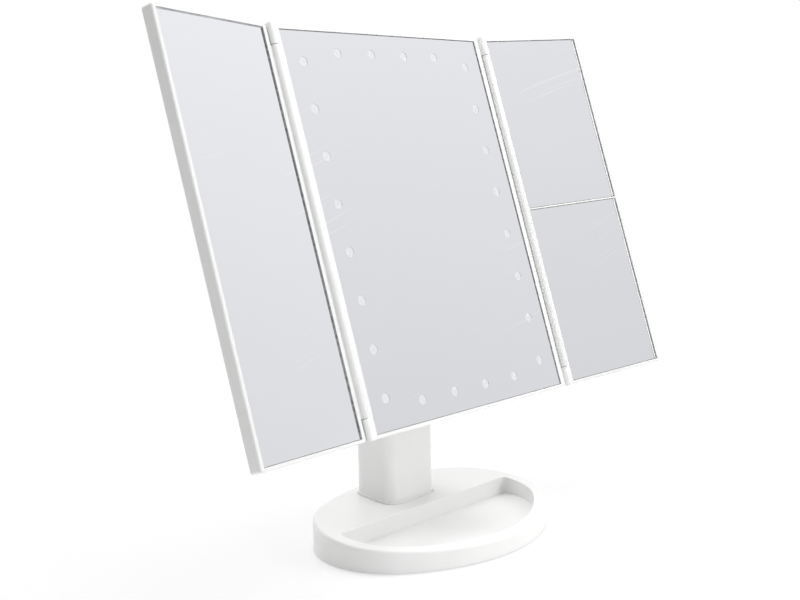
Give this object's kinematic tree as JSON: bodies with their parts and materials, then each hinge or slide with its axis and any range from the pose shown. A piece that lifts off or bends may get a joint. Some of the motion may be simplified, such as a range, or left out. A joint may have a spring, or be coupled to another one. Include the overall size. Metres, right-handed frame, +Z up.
{
  "type": "trifold vanity mirror",
  "caption": "Lit tabletop trifold mirror: tilting centre panel with folding side wings, on a battery column with a touch switch and an oval tray base.",
  "frame": {"origin": "on the table, at the middle of the base's footprint", "axes": "+Z up, +X to the right of the person at the mirror, +Y to the back of the mirror"},
  "size_m": [0.346, 0.1108, 0.2967],
  "materials": {
    "white_abs": "glossy white moulded ABS",
    "white_abs_wing": "glossy white moulded ABS, wing frames",
    "white_abs_stand": "glossy white moulded ABS, column and base",
    "silvered_glass": "polished float glass, silvered at the back",
    "steel": "zinc-plated",
    "foam_tape": "white double-sided foam tape",
    "circuit_board": "white solder mask",
    "led_lens": "warm white encapsulant",
    "rubber": "pale grey, satin",
    "copper_pad": "bare metal electrode",
    "cell_wrap": "wrapped metal can",
    "black_nylon": "moulded nylon",
    "lead_jacket": "soft PVC",
    "nickel": "nickel-plated"
  },
  "bodies": {
    "stand": {"base_shell": "white_abs_stand", "base_plate": "white_abs_stand", "base_weight": "steel", "rubber_feet": "rubber", "base_screws": "steel", "column_shell": "white_abs_stand", "column_screws": "steel", "column_head": "white_abs_stand", "head_screws": "steel", "battery_holder": "black_nylon", "aa_cells": "cell_wrap", "contact_springs": "nickel", "contact_plates": "nickel", "usb_socket": "nickel", "power_board": "circuit_board", "power_lead": "lead_jacket", "column_lead": "lead_jacket", "friction_washers": "black_nylon"},
    "battery_door": {"battery_door": "white_abs_stand"},
    "panel": {"centre_frame": "white_abs", "centre_mirror": "silvered_glass", "centre_tape": "foam_tape", "led_board": "circuit_board", "leds": "led_lens", "touch_pad": "copper_pad", "control_board": "circuit_board", "rear_cover": "white_abs", "cover_screws": "steel", "tilt_bracket": "white_abs", "bracket_screws": "steel", "pivot_sleeves": "steel", "pivot_caps": "white_abs", "panel_lead": "lead_jacket", "hinge_pins": "steel"},
    "left_wing": {"left_frame": "white_abs_wing", "left_mirror": "silvered_glass", "left_tape": "foam_tape", "left_back": "white_abs_wing"},
    "right_wing": {"right_frame": "white_abs_wing", "right_mirror_upper": "silvered_glass", "right_mirror_lower": "silvered_glass", "right_tape": "foam_tape", "right_back": "white_abs_wing"}
  },
  "joints": [
    {"name": "tilt", "type": "hinge", "parent": "stand", "child": "panel", "pos_m": [0, 0.0294, 0.17105], "axis": [-1, 0, 0], "range_deg": [-17.3, 72.7]},
    {"name": "left_fold", "type": "hinge", "parent": "panel", "child": "left_wing", "pos_m": [-0.0869, 0.00062, 0.18525], "axis": [0, 0.2974, 0.9548], "range_deg": [-10.9, 169.1]},
    {"name": "right_fold", "type": "hinge", "parent": "panel", "child": "right_wing", "pos_m": [0.0869, 0.00062, 0.18525], "axis": [0, -0.2974, -0.9548], "range_deg": [-9.6, 170.4]},
    {"name": "battery_door_swing", "type": "hinge", "parent": "stand", "child": "battery_door", "pos_m": [0, 0.04935, 0.0343], "axis": [-1, 0, 0], "range_deg": [0, 40]}
  ]
}
